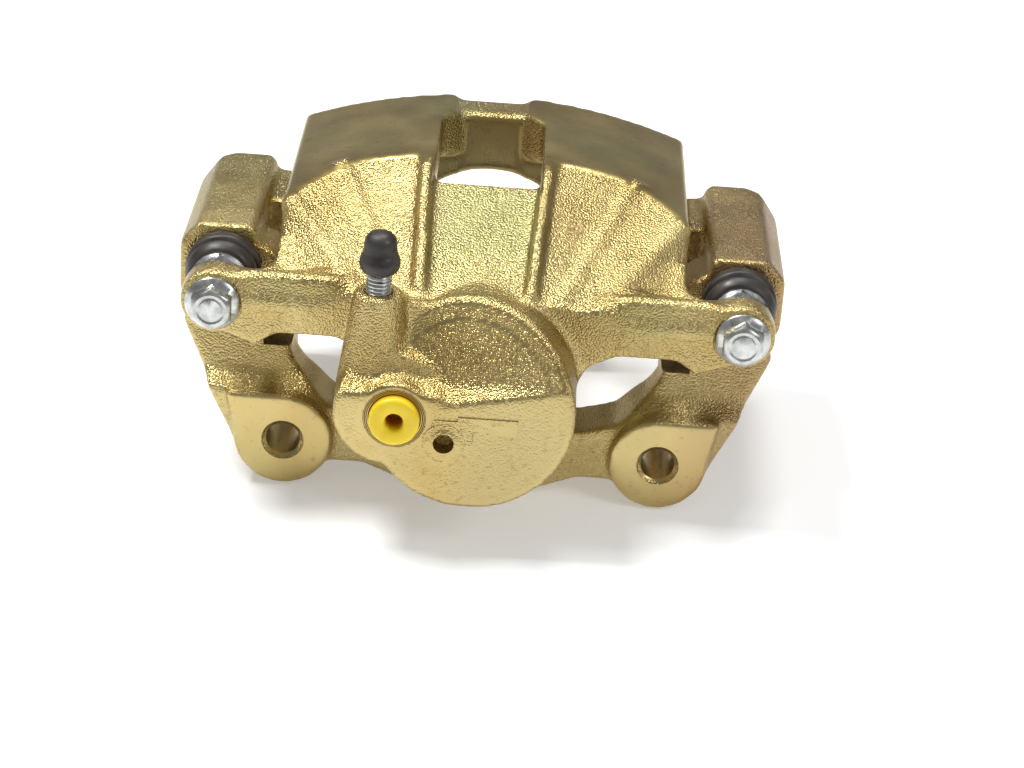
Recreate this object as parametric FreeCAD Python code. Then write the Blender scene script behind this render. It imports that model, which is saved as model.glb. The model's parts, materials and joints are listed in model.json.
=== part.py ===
import FreeCAD, Part
import math
import os

os.makedirs("parts", exist_ok=True)

# Single-piston floating brake caliper on its mounting bracket, millimetres.
# +X runs from guide pin to guide pin, +Y is outboard (the way the piston pushes), +Z is up, away
# from the wheel axle. The origin is midway between the two knuckle bolt holes, on their boss faces.

# Driving dimensions
mount_spacing = 118.0     # between the knuckle bolt holes
mount_thread_radius = 5.3     # tapping size of M12x1.25
boss_radius = 15.5
boss_edge = 18.3     # straight outer edge of a boss, beside its hole
pin_spacing = 161.0
pin_height = 50.0     # guide pins above the knuckle bolts
piston_height = 29.5     # piston axis above the knuckle bolts
piston_radius = 25.55
piston_length = 36.5
rotor_radius = 150.0
rotor_width = 28.0
rotor_edge = 55.0     # rotor's edge above the knuckle bolts
rotor_face = 41.0     # inboard face of the rotor
pad_thickness = 17.0     # friction lining and backing plate, new
bridge_thickness = 15.0
bridge_half_width = 63.5
finger_thickness = 15.0
cylinder_wall = 5.9
cylinder_front = -34.0
ear_thickness = 10.0
ear_radius = 10.3
heel_depth = 8.0     # how far an ear thickens behind, beside the bridge
tower_front = 20.0
tower_outer_width = 14.3     # pin axis to the tower's outer side
tower_inner_width = 9.8
tower_half_height = 13.0
bracket_plate = 20.0     # thickness of the inboard plate
boss_stand_off = 4.0     # boss faces in front of the plate

# Clearances
running = 0.05     # shaft in hole, radial
gap = 0.4     # between pieces of different bodies
seat = 0.02     # between seated pieces of one body
rotor_gap = 13.0     # rotor edge to the inside of the bridge
arm_gap = 1.5     # rotor face to the bracket arms

# Fasteners and small pieces
pin_radius = 5.5
pin_depth = 57.0     # shank inside the tower
pin_collar_length = 8.0
pin_collar_flats = 16.0
guide_bolt_radius = 3.95
guide_bolt_reach = 26.0
guide_bolt_flats = 12.0
guide_bolt_flange = 8.5
boot_radius = 11.8
boot_lip_radius = 9.0
bush_length = 14.0
bleed_x = -30.0
bleed_y = -18.0
bleed_top = 61.4     # top of the cast column
bleed_radius = 3.9
bleed_seat = 44.0     # bottom of the bleed screw's thread
bleed_hex = 68.2     # underside of the bleed screw's hexagon
port_x = -22.7
port_z = 27.0
port_radius = 4.75
locating_x = -7.6
locating_z = 20.0
locating_radius = 3.15
seal_width = 3.6
seal_height = 3.0
seal_start = 4.0
boot_seat_depth = 8.0     # counterbore in the cylinder's mouth
clip_sheet = 0.5
clip_channel = 21.0     # length of one channel of a pad clip
slot_low = 31.0     # pad ear slot in the bracket
slot_high = 45.0
slot_depth = 8.8
abutment_x = 58.2     # where the bracket stops the pads sideways

# Derived places
bore_radius = piston_radius + running
cylinder_radius = bore_radius + cylinder_wall
pin_x = pin_spacing / 2
mount_x = mount_spacing / 2
rotor_center = rotor_edge - rotor_radius     # wheel axle height
pad_front = rotor_face - pad_thickness     # inboard pad's back, where the piston stands
rotor_back = rotor_face + rotor_width
finger_face = rotor_back + pad_thickness + 1.0
finger_back = finger_face + finger_thickness
bridge_inner = rotor_radius + rotor_gap
bridge_outer = bridge_inner + bridge_thickness
bridge_top = rotor_center + bridge_outer
ear_front = -ear_thickness
cylinder_mouth = pad_front - 4.0
tower_back = rotor_back + pad_thickness - 2.0
boot_seat_start = cylinder_mouth - boot_seat_depth
boot_seat_radius = bore_radius + 4.2
arm_inner = rotor_face - arm_gap
arm_outer = rotor_back + arm_gap
plate_back = boss_stand_off + bracket_plate
slot_back = abutment_x + slot_depth
tower_inner = pin_x - tower_inner_width
tower_outer = pin_x + tower_outer_width
tower_low = pin_height - tower_half_height
bar_radius = cylinder_radius + 2.6     # the plate's round relief under the cylinder


def at(x, y, z):
    return FreeCAD.Vector(x, y, z)


def joined(shapes):
    whole = shapes[0]
    for shape in shapes[1:]:
        whole = whole.fuse(shape)
    return whole.removeSplitter()


def without(shape, cutters):
    for cutter in cutters:
        shape = shape.cut(cutter)
    return shape


def rod(x, z, start, end, radius):
    """Round bar along Y."""
    return Part.makeCylinder(radius, end - start, at(x, start, z), at(0, 1, 0))


def post(x, y, low, high, radius, top_radius=None):
    """Round or tapered bar along Z."""
    if top_radius is None:
        return Part.makeCylinder(radius, high - low, at(x, y, low))
    return Part.makeCone(radius, top_radius, high - low, at(x, y, low))


def block(x1, x2, y1, y2, z1, z2):
    return Part.makeBox(x2 - x1, y2 - y1, z2 - z1, at(x1, y1, z1))


def plate(outline, start, end):
    """Outline of (x, z) points, drawn out along Y."""
    wire = Part.makePolygon([at(x, start, z) for x, z in outline + outline[:1]])
    return Part.Face(wire).extrude(at(0, end - start, 0))


def side_plate(outline, start, end):
    """Outline of (y, z) points, drawn out along X."""
    wire = Part.makePolygon([at(start, y, z) for y, z in outline + outline[:1]])
    return Part.Face(wire).extrude(at(end - start, 0, 0))


def floor_plate(outline, low, high):
    """Outline of (x, y) points, drawn out along Z."""
    wire = Part.makePolygon([at(x, y, low) for x, y in outline + outline[:1]])
    return Part.Face(wire).extrude(at(0, 0, high - low))


def turned(profile, x, z):
    """Profile of (y, radius) points, turned about the line along Y through (x, z)."""
    wire = Part.makePolygon([at(x + radius, y, z) for y, radius in profile + profile[:1]])
    return Part.Face(wire).revolve(at(x, 0, z), at(0, 1, 0), 360)


def turned_upright(profile, x, y):
    """Profile of (z, radius) points, turned about the line along Z through (x, y)."""
    wire = Part.makePolygon([at(x + radius, y, z) for z, radius in profile + profile[:1]])
    return Part.Face(wire).revolve(at(x, y, 0), at(0, 0, 1), 360)


def hexagon(flats, x, z, start, end):
    corner = flats / math.sqrt(3)
    turns = [math.radians(60 * step) for step in range(6)]
    outline = [(x + corner * math.cos(turn), z + corner * math.sin(turn)) for turn in turns]
    return plate(outline, start, end)


def loft(sections):
    """Straight-sided body through outlines of (x, z) points, each with its own y."""
    wires = []
    for y, outline in sections:
        wires.append(Part.makePolygon([at(x, y, z) for x, z in outline + outline[:1]]))
    return Part.makeLoft(wires, True, True)


def mirrored(shape):
    return shape.mirror(at(0, 0, 0), at(1, 0, 0))


def on_side(shape, side):
    return shape if side > 0 else mirrored(shape)


def export(name, shape):
    shape.exportStep("parts/" + name + ".step")
    print(name, "valid", shape.isValid(), "solids", len(shape.Solids), "volume", round(shape.Volume, 1))


# Bracket -----------------------------------------------------------------------------------


def mounting_boss():
    edge_x = mount_x + boss_edge
    outline = [
        (mount_x, boss_radius), (edge_x, boss_radius),
        (edge_x - 4.6, -0.5 * boss_radius), (mount_x, -boss_radius),
    ]
    wedge = plate(outline, 0, plate_back)
    return rod(mount_x, 0, 0, plate_back, boss_radius).fuse(wedge)


def inboard_plate():
    """Lower half of the bracket: a bar that dips round the cylinder and rises to both arms."""
    ledge = boss_radius - 0.5
    bar_low = piston_height - bar_radius - 10.6
    outline = [
        (0, bar_low), (20, bar_low + 1.2), (34, -8.6), (46, -8.6), (mount_x + 8, -10), (mount_x + 13.5, -8),
        (tower_outer - 2, tower_low - 4), (tower_outer - 4, tower_low - 1.2), (pin_x - 12, tower_low - 1.2),
        (abutment_x, slot_low - 2), (abutment_x, 25), (54, 18.9), (50, 15.9), (44.7, 10.5),
        (34, 7.6), (0, 7.6),
    ]
    body = plate(outline, boss_stand_off, plate_back)
    recess = [
        (boss_stand_off - 1, ledge), (boss_stand_off, ledge), (boss_stand_off + 6, ledge + 4),
        (boss_stand_off + 10.5, tower_low + 1), (boss_stand_off - 1, tower_low + 1),
    ]
    return body.cut(side_plate(recess, 0, tower_outer + 5))


def arm_outline(low):
    """One pad arm, from its lower end to the tower that carries the guide pin."""
    lip = slot_high + 4.5
    arm_rise = 2.2
    return [
        (abutment_x, low), (mount_x + 13, low), (tower_outer, tower_low + 3),
        (tower_outer, pin_height), (tower_inner + 1, pin_height + 8),
        (bridge_half_width + arm_rise, lip + 5.0), (abutment_x + 1.5, lip), (abutment_x, lip - 1.5),
    ]


def tower():
    top = pin_height + tower_half_height
    outline = [
        (tower_inner, top - 2), (tower_inner + 2, top), (tower_outer - 5.5, top), (tower_outer, top - 6.5),
        (tower_outer, tower_low + 5), (tower_outer - 5, tower_low), (tower_inner + 4, tower_low),
        (tower_inner, tower_low + 5),
    ]
    body = plate(outline, tower_front, tower_back)
    cheek = block(bridge_half_width + arm_gap, tower_inner + 1, 56, tower_back, tower_low + 9, top - 5)
    body = body.fuse(cheek)
    far = tower_outer + 1
    corner = [(tower_outer - 10, tower_back + 1), (far, tower_back - 12), (far, tower_back + 1)]
    return body.cut(floor_plate(corner, tower_low - 5, top + 5))


def pin_bore():
    lip_depth = 4.0
    bore = rod(pin_x, pin_height, tower_front - 1, tower_front + pin_depth + 3, pin_radius + running)
    seat_bore = rod(pin_x, pin_height, tower_front - 1, tower_front + lip_depth, boot_lip_radius)
    return bore.fuse(seat_bore)


def pad_slots():
    return block(abutment_x - 1, slot_back, boss_stand_off, tower_back + 5, slot_low, slot_high)


def mount_hole():
    return rod(mount_x, 0, -1, plate_back + 1, mount_thread_radius)


def half_bracket():
    solids = [
        inboard_plate(),
        mounting_boss(),
        plate(arm_outline(9), tower_front, arm_inner),
        plate(arm_outline(4), arm_outer, tower_back + 4),
        tower(),
    ]
    relief = rod(0, piston_height, boss_stand_off - 1, plate_back + 1, bar_radius)
    return without(joined(solids), [relief, pin_bore(), pad_slots(), mount_hole()])


def bracket():
    half = half_bracket()
    return half.fuse(mirrored(half)).removeSplitter()


# Caliper housing ---------------------------------------------------------------------------


def bridge():
    """Arched roof over the rotor, turned on its outside."""
    outer = rod(0, rotor_center, ear_front - 10, finger_back, bridge_outer)
    inner = rod(0, rotor_center, plate_back, finger_back + 1, bridge_inner)
    low = 20.0
    rear = block(-bridge_half_width, bridge_half_width, 46, finger_back, low, bridge_top + 1)
    body = rear.fuse(shoulders())
    body = body.common(outer).cut(inner)
    return body


def height(share):
    """Level on the slope between the guide pins and the top of the roof."""
    return pin_height + share * (bridge_top - pin_height)


def shoulders():
    """Cast slopes with two soft ridges a side, from the turned roof to the cylinder and the ears."""
    edge = bridge_half_width
    rib = 20.0
    slopes = [
        (48.0, edge, [(rib, 0.973), (46.8, 0.839), (edge, 0.858), (edge, 0.758)]),
        (28.0, edge, [(rib, 0.715), (39.2, 0.621), (edge, 0.645), (edge, 0.545)]),
        (8.0, edge, [(rib, 0.458), (31.6, 0.400), (48.2, 0.418), (edge, 0.212)]),
        (-11.0, 54.0, [(rib, 0.203), (24.0, 0.182), (36.0, 0.170), (54.0, 0.06)]),
    ]
    sections = []
    for y, half, levels in slopes:
        right = [(x, height(share)) for x, share in levels] + [(half, pin_height - 5)]
        left = [(-x, z) for x, z in reversed(right)]
        sections.append((y, left + right))
    return loft(sections)


def fingers():
    low = piston_height - 39.0
    tip = 34.0
    spread = bridge_top - 23.0
    outline = [
        (-tip + 5, low), (tip - 5, low), (tip, low + 7), (tip + 1, 0), (46, 15), (48, 40), (58, spread),
        (58, bridge_top), (-58, bridge_top), (-58, spread), (-48, 40), (-46, 15), (-tip - 1, 0),
        (-tip, low + 7),
    ]
    wall = plate(outline, finger_face, finger_back).common(rod(0, rotor_center, 0, finger_back, bridge_outer))
    arch = rod(0, piston_height, finger_face - 1, finger_back + 1, cylinder_radius)
    slot = block(-15, 15, finger_face - 1, finger_back + 1, low - 1, piston_height)
    return without(wall, [arch, slot])


def port_boss():
    """Flat swelling beside the cylinder, ending in a ledge under the bleed column."""
    ledge = piston_height + 5
    swelling = rod(port_x - 1.8, port_z + 1, cylinder_front, 0, 17.0)
    above = side_plate([
        (cylinder_front - 1, ledge), (cylinder_front, ledge), (-27, ledge + 3.5), (-27, bridge_top),
        (cylinder_front - 1, bridge_top),
    ], -60, 60)
    collar = rod(port_x, port_z, cylinder_front, -18, 11.5)
    return swelling.cut(above).fuse(collar)


def cylinder():
    """Round body with a flat face low down and a leaning face above, and a shelf between them."""
    body = rod(0, piston_height, cylinder_front, cylinder_mouth, cylinder_radius)
    shelf = piston_height + 4.25
    slope = side_plate([
        (cylinder_front - 12, shelf - 9), (cylinder_front + 4.3, shelf + 3.2), (-2.8, bridge_top + 7),
        (cylinder_front - 12, bridge_top + 7),
    ], -60, 60)
    center = at(0, cylinder_front, shelf)
    slope.rotate(center, at(0, 0, 1), -8.4)
    slope.rotate(center, at(0, 1, 0), -4.9)
    return body.cut(slope)


def bleed_column():
    low = port_z
    cone = post(bleed_x, bleed_y, low, bleed_top, 12.3, 7.6)
    root = block(bleed_x, bleed_x + 14, bleed_y, bleed_y + 16, low, bleed_top - 4)
    return cone.fuse(root)


def ear(side):
    low = pin_height - ear_radius + 1.3
    top = pin_height + ear_radius
    web = 12.0
    knuckle = rod(pin_x, pin_height, ear_front, 0, ear_radius)
    outline = [
        (10, low - web), (cylinder_radius - 1, low - web), (cylinder_radius + 3, low - 0.35 * web),
        (cylinder_radius + web, low), (pin_x - 20, low), (pin_x - 13, low - 4.5), (pin_x - 4, low - 1.2),
        (pin_x, low), (pin_x, top), (pin_x - 8, top - 1.4), (pin_x - 20, top - 4), (10, top - 4),
    ]
    arm = plate(outline, ear_front, 0)
    rise = [(0, low), (0, top - 4), (heel_depth + 7, height(0.4)), (heel_depth + 7, low)]
    heel = side_plate(rise, 30, bridge_half_width)
    gusset = floor_plate([
        (bridge_half_width - 1, heel_depth), (bridge_half_width, heel_depth), (bridge_half_width + 2.5, 2.2),
        (bridge_half_width + 6, 0), (bridge_half_width - 1, 0),
    ], low, top - 2)
    body = joined([knuckle, arm, heel, gusset])
    return on_side(body, side)


def ear_ribs(side):
    """Two raised ribs along the front of an ear."""
    ribs = []
    upper = (2.8, 7.8, 2.7)
    lower = (0.4, 1.2, 2.1)
    for inward, above, radius in (upper, lower):
        start = at(pin_x - 36, ear_front + inward, pin_height + above)
        rib = Part.makeCylinder(radius, 27, start, at(1, 0, 0))
        ribs.append(rib)
    return on_side(joined(ribs), side)


def channel_ribs():
    ribs = []
    levels = [(-10, 0.30), (7, 0.59), (27, 0.82), (45, 1.0), (45, 0.6), (-10, 0.06)]
    crest = [(y, height(share)) for y, share in levels]
    for far_x, near_x in ((-19.9, -18.3), (18.7, 15.4)):
        edge = floor_plate([(far_x - 2, 45), (far_x + 2, 45), (near_x + 2, -10), (near_x - 2, -10)],
                           pin_height, bridge_top + 7)
        ribs.append(side_plate(crest, -30, 30).common(edge))
    return joined(ribs)


def channel():
    """Lowered floor between the ribs, from the window to the cylinder."""
    levels = [(-14, 0.18), (-2, 0.32), (9, 0.455), (27, 0.636), (40, 0.773), (40, 1.4), (-14, 1.4)]
    floor = [(y, height(share)) for y, share in levels]
    sides = floor_plate([(-17.9, 41), (16.7, 41), (13.4, -15), (-16.3, -15)],
                        pin_height, bridge_top + 20)
    return side_plate(floor, -30, 30).common(sides)


def window():
    far = finger_face + 0.5
    outline = [
        (-17, 39), (16.5, 39), (16.5, far - 9), (9.25, far), (-9.75, far), (-17, far - 9),
    ]
    return floor_plate(outline, piston_height, bridge_top + 5)


def roof_notch():
    depth = 2.2
    outline = [
        (-12, bridge_top - depth), (-16, bridge_top + 2), (14, bridge_top + 2), (10, bridge_top - depth),
    ]
    return plate(outline, finger_face - 2, finger_back + 1)


def cylinder_bore():
    bottom = pad_front + 0.5 - piston_length - 1.0
    bore = rod(0, piston_height, bottom, cylinder_mouth + 60, bore_radius)
    groove = rod(0, piston_height, seal_start, seal_start + seal_width, bore_radius + seal_height)
    boot_seat = rod(0, piston_height, boot_seat_start, cylinder_mouth + 1, boot_seat_radius)
    return joined([bore, groove, boot_seat])


def fluid_passages():
    port = rod(port_x, port_z, cylinder_front - 1, cylinder_front + 14, port_radius)
    spot = rod(port_x, port_z, cylinder_front - 1, cylinder_front + 0.8, 9.3)
    to_bore = rod(port_x + 3, port_z, cylinder_front + 10, -10, 1.5)
    bleed_hole = post(bleed_x, bleed_y, bleed_seat, bleed_top + 1, bleed_radius + running)
    bleed_tip = post(bleed_x, bleed_y, bleed_seat - 2.6, bleed_seat, 1.5, bleed_radius + running)
    length = 19.0
    bleed_path = Part.makeCylinder(1.3, length, at(bleed_x, bleed_y, bleed_seat - 2.4), at(0.78, 0.62, 0))
    return [port, spot, to_bore, bleed_hole.fuse(bleed_tip), bleed_path]


def locating_hole():
    return rod(locating_x, locating_z, cylinder_front - 2, cylinder_front + 5, locating_radius)


def locating_pad():
    """Low cast pad round the locating hole."""
    pad = rod(locating_x, locating_z, cylinder_front - 0.6, cylinder_front + 1, 6.5)
    tail = plate([
        (locating_x - 4, locating_z + 6.5), (locating_x + 15, locating_z + 9),
        (locating_x + 15, locating_z - 2), (locating_x, locating_z - 6.5),
    ], cylinder_front - 0.6, cylinder_front + 1)
    return pad.fuse(tail)


def arm_room(side):
    """Space behind an ear for the bracket's arm and its pad clip."""
    behind_heel = heel_depth + 0.6
    room = block(cylinder_radius + 20, pin_x, behind_heel, finger_face, 0, bridge_top)
    return on_side(room.common(rod(0, rotor_center, 0, finger_back, bridge_inner)), side)


def caliper_housing():
    solids = [bridge(), fingers(), cylinder(), port_boss(), bleed_column(), locating_pad()]
    for side in (-1, 1):
        solids.append(ear(side))
        solids.append(ear_ribs(side))
    solids.append(channel_ribs().common(rod(0, rotor_center, -20, 60, bridge_outer)))
    body = joined(solids)
    pad_room = rod(0, rotor_center, cylinder_mouth, finger_face, bridge_inner)
    cuts = [channel(), window(), roof_notch(), pad_room, cylinder_bore(), locating_hole()]
    cuts += fluid_passages()
    for side in (-1, 1):
        cuts.append(rod(side * pin_x, pin_height, ear_front - 1, 1, guide_bolt_radius + 0.35))
        cuts.append(rod(side * pin_x, pin_height, ear_front - 8, ear_front, guide_bolt_flange + 0.6))
        cuts.append(arm_room(side))
    return without(body, cuts)


# Guide pins, their bolts and boots ---------------------------------------------------------


def guide_pin(bushed):
    """Pin with a hexagon collar behind the ear; the bushed one is thinner at its end."""
    collar_end = pin_collar_length
    shank_end = tower_front + pin_depth
    neck = collar_end + 2.2
    body = hexagon(pin_collar_flats, pin_x, pin_height, seat, collar_end - 1.5)
    flange = rod(pin_x, pin_height, collar_end - 1.5, collar_end, 9.0)
    groove = rod(pin_x, pin_height, collar_end, neck, pin_radius + 0.4)
    shank = rod(pin_x, pin_height, neck, shank_end - bush_length, pin_radius)
    tip_radius = pin_radius - 1.6 if bushed else pin_radius
    tip = rod(pin_x, pin_height, shank_end - bush_length, shank_end, tip_radius)
    thread = rod(pin_x, pin_height, -1, guide_bolt_reach - ear_thickness + 1, guide_bolt_radius + seat)
    return joined([body, flange, groove, shank, tip]).cut(thread)


def pin_bushing():
    """Rubber sleeve on the thin end of the bushed pin."""
    end = tower_front + pin_depth
    inner = pin_radius - 1.6 + seat
    profile = [
        (end - bush_length + seat, inner), (end - bush_length + seat, pin_radius - 0.1),
        (end - bush_length + 1, pin_radius), (end - 1, pin_radius), (end - 0.1, pin_radius - 0.6),
        (end - 0.1, inner),
    ]
    return turned(profile, pin_x, pin_height)


def guide_bolt():
    """Hexagon bolt with a washer flange, its top face dished."""
    face = ear_front - seat
    rim = guide_bolt_flange
    flange = turned([(face, 0), (face, rim), (face - 0.9, rim), (face - 2.2, rim - 1.3), (face - 2.2, 0)],
                    pin_x, pin_height)
    head = hexagon(guide_bolt_flats, pin_x, pin_height, face - 6.6, face - 1.5)
    corners = turned([(face, 0), (face, 9), (face - 5.4, 7.9), (face - 6.6, 6.0), (face - 6.6, 0)],
                     pin_x, pin_height)
    dish = rod(pin_x, pin_height, face - 7, face - 6.1, 4.7)
    shank = rod(pin_x, pin_height, face - 1, ear_front + guide_bolt_reach, guide_bolt_radius)
    return joined([flange, head.common(corners), shank]).cut(dish)


def pin_boot():
    """Rubber bellows from the pin's groove to the tower, whose counterbore holds its lip."""
    start = pin_collar_length + gap
    lip_end = tower_front + 3.6
    inner = pin_radius + 0.4 + gap
    profile = [
        (start, inner), (start, 9.5), (start + 1.5, boot_radius - 1.2), (start + 3.2, boot_radius - 0.4),
        (start + 4.6, boot_radius - 1.8), (start + 6.2, boot_radius), (tower_front - 1.6, boot_radius),
        (tower_front - seat, boot_radius - 1.6), (tower_front - seat, boot_lip_radius - seat),
        (lip_end, boot_lip_radius - seat), (lip_end, pin_radius + 1.5),
        (tower_front - 1, pin_radius + 1.5), (start + 6.2, boot_radius - 1.8),
        (start + 4.6, boot_radius - 3.4), (start + 3.2, boot_radius - 2.2), (start + 1.9, inner),
    ]
    return turned(profile, pin_x, pin_height)


# Piston and what seals it ------------------------------------------------------------------


def piston():
    """Steel cup, open towards the pads, with a groove for the dust boot near its rim."""
    rim = pad_front + 0.5
    base = rim - piston_length
    wall = 4.0
    profile = [
        (base, 0), (base, piston_radius - 1.5), (base + 1.5, piston_radius), (rim - 5.2, piston_radius),
        (rim - 5.2, piston_radius - 1.6), (rim - 2.4, piston_radius - 1.6), (rim - 2.4, piston_radius),
        (rim - 0.6, piston_radius), (rim, piston_radius - 0.6), (rim, piston_radius - wall),
        (base + 7, piston_radius - wall), (base + 5, piston_radius - wall - 2), (base + 5, 0),
    ]
    return turned(profile, 0, piston_height)


def piston_seal():
    start = seal_start + seat
    end = seal_start + seal_width - seat
    outer = bore_radius + seal_height - seat
    return turned([(start, bore_radius), (start, outer), (end, outer), (end, bore_radius)], 0, piston_height)


def piston_boot():
    """Rubber bellows between the cylinder's mouth and the groove near the piston's rim."""
    inner = piston_radius + 0.3
    outer = boot_seat_radius - seat
    floor = boot_seat_start + seat
    lip = pad_front - 4.2
    profile = [
        (floor, inner + 1.0), (floor, outer), (floor + 2.6, outer), (floor + 2.6, inner + 2.1),
        (floor + 4.8, inner + 2.1), (floor + 6.4, inner + 1.0), (lip + 1.2, inner + 1.0), (lip + 1.2, inner),
        (lip - 1.6, inner), (floor + 4.2, inner + 1.1), (floor + 2.6, inner + 1.0),
    ]
    return turned(profile, 0, piston_height)


def boot_retaining_ring():
    """Wire ring that holds the boot's lip down in its counterbore."""
    wire = 0.7
    center = at(0, boot_seat_start + 2.6 + 2 * seat + wire + 0.05, piston_height)
    ring = Part.makeTorus(boot_seat_radius - seat - wire, wire, center, at(0, 1, 0))
    return ring


# Bleed screw, caps and clips ---------------------------------------------------------------


def bleed_screw():
    flats = 8.0
    hex_low = bleed_hex
    profile = [
        (bleed_seat + 0.1, 0), (bleed_seat + 0.1, bleed_radius - 0.8), (bleed_seat + 0.9, bleed_radius),
        (hex_low - 1.5, bleed_radius), (hex_low, 3.1), (hex_low + 5, 3.1), (hex_low + 5.6, 2.4),
        (hex_low + 7.4, 3.2), (hex_low + 8.8, 2.0), (hex_low + 8.8, 0),
    ]
    body = turned_upright(profile, bleed_x, bleed_y)
    corner = flats / math.sqrt(3)
    turns = [math.radians(60 * step) for step in range(6)]
    outline = [(bleed_x + corner * math.cos(turn), bleed_y + corner * math.sin(turn)) for turn in turns]
    head = floor_plate(outline, hex_low, hex_low + 4.5)
    bore = post(bleed_x, bleed_y, bleed_seat + 4, hex_low + 12, 1.0)
    cross = Part.makeCylinder(0.9, 12, at(bleed_x - 6, bleed_y, bleed_seat + 4.5), at(1, 0, 0))
    return joined([body, head]).cut(bore).cut(cross)


def bleed_cap():
    """Rubber cap: a bulge over the hexagon, a dome over the nipple."""
    low = bleed_hex - 0.3
    profile = [
        (low, 5.0), (low, 5.5), (low + 1.6, 6.1), (low + 3.6, 6.2), (low + 5.6, 5.4), (low + 7.6, 5.0),
        (low + 10.2, 4.7), (low + 11.6, 3.9), (low + 12.4, 2.4), (low + 12.7, 0), (low + 10.4, 0),
        (low + 10.2, 3.5), (low + 6.2, 3.5), (low + 5.2, 5.0),
    ]
    return turned_upright(profile, bleed_x, bleed_y)


def inlet_plug():
    """Push-in plug that keeps the hose port clean until the hose is fitted."""
    floor = cylinder_front + 0.8 - gap / 4
    flange = rod(port_x, port_z, floor - 4.0, floor, 7.65)
    shank = rod(port_x, port_z, floor, cylinder_front + 11, port_radius - running)
    hollow = rod(port_x, port_z, floor - 5, floor + 4, 2.9)
    return flange.fuse(shank).removeSplitter().cut(hollow)


def pad_clip():
    """Sheet steel liner of both pad slots, with a bridge strip over the rotor and end tabs."""
    sheet = clip_sheet
    back = slot_back - seat
    low = slot_low + seat
    high = slot_high - seat
    front = abutment_x - 1.2
    inboard = arm_inner - clip_channel
    outboard = arm_outer + clip_channel - 1.0
    solids = []
    for start, end in ((inboard, arm_inner), (arm_outer, outboard)):
        solids.append(block(front, back, start, end, low, low + sheet))
        solids.append(block(back - sheet, back, start, end, low, high))
        solids.append(block(front + 2, back, start, end, high - sheet, high))
        hook = [(front, low), (front + sheet, low), (front - 1.0, low - 4), (front - 1.5, low - 4)]
        solids.append(plate(hook, start + 4, end - 4))
    solids.append(block(back - sheet, back, inboard, outboard, high - 3.4, high))
    solids.append(block(front + 4.5, back, inboard, outboard, high - sheet, high))
    for start, end in ((inboard - 5, inboard + 1), (outboard - 1, outboard + 5)):
        solids.append(block(front + 4.5, front + 7.5, start, end, high - sheet, high))
    return joined(solids)


export("bracket", bracket())
export("caliper_housing", caliper_housing())
export("piston", piston())
export("piston_seal", piston_seal())
export("piston_boot", piston_boot())
export("boot_retaining_ring", boot_retaining_ring())
for side, word in ((-1, "left"), (1, "right")):
    export("guide_pin_" + word, on_side(guide_pin(side > 0), side))
    export("guide_bolt_" + word, on_side(guide_bolt(), side))
    export("pin_boot_" + word, on_side(pin_boot(), side))
    export("pad_clip_" + word, on_side(pad_clip(), side))
export("pin_bushing", pin_bushing())
export("bleed_screw", bleed_screw())
export("bleed_cap", bleed_cap())
export("inlet_plug", inlet_plug())
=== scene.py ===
import json
import math
import bpy
from mathutils import Matrix, Vector


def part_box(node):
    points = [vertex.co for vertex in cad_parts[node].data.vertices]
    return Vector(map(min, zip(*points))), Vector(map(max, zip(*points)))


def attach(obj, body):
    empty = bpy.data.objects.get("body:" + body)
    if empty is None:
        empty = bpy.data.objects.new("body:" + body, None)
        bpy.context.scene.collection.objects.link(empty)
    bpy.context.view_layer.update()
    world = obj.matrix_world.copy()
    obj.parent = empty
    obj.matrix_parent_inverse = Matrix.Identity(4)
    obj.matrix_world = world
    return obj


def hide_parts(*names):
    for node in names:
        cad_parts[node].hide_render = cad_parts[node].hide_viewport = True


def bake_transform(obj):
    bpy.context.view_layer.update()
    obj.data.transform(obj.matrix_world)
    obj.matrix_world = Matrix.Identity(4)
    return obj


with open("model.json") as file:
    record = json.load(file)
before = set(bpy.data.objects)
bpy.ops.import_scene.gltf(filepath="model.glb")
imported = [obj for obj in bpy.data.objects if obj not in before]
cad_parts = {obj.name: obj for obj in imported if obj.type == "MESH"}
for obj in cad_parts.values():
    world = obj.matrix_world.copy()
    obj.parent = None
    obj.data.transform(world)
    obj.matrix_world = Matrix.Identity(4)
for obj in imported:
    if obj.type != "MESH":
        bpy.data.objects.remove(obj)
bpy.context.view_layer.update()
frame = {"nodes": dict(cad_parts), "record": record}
mm = 0.001
print("frame loaded")


# Helpers for modelling

def deselectAll():
    if bpy.context.object and bpy.context.object.mode != "OBJECT":
        bpy.ops.object.mode_set(mode="OBJECT")
    bpy.ops.object.select_all(action="DESELECT")


def pick(piece):
    deselectAll()
    piece.select_set(True)
    bpy.context.view_layer.objects.active = piece


def applyModifier(piece, kind, **settings):
    pick(piece)
    modifier = piece.modifiers.new(kind.title(), kind)
    for key, value in settings.items():
        setattr(modifier, key, value)
    bpy.ops.object.modifier_apply(modifier=modifier.name)


def finishShape(piece, name, angle=35):
    # Place goes into the mesh, then smooth shading
    pick(piece)
    piece.name = name
    piece.data.name = name
    bpy.ops.object.transform_apply(location=True, rotation=True, scale=True)
    bpy.ops.object.shade_smooth_by_angle(angle=math.radians(angle))
    return piece


def joinAll(pieces):
    deselectAll()
    for piece in pieces:
        piece.select_set(True)
    bpy.context.view_layer.objects.active = pieces[0]
    bpy.ops.object.join()
    return pieces[0]


def span(node):
    # Low and high corner of a node in mm
    low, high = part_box(node)
    return low * 1000, high * 1000


def middle(node):
    low, high = span(node)
    return (low + high) / 2


def edgeLine(name, points):
    # A line of loose edges, the start of a spin
    mesh = bpy.data.meshes.new(name)
    edges = [(index, index + 1) for index in range(len(points) - 1)]
    mesh.from_pydata(points, edges, [])
    piece = bpy.data.objects.new(name, mesh)
    bpy.context.scene.collection.objects.link(piece)
    return piece


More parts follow.
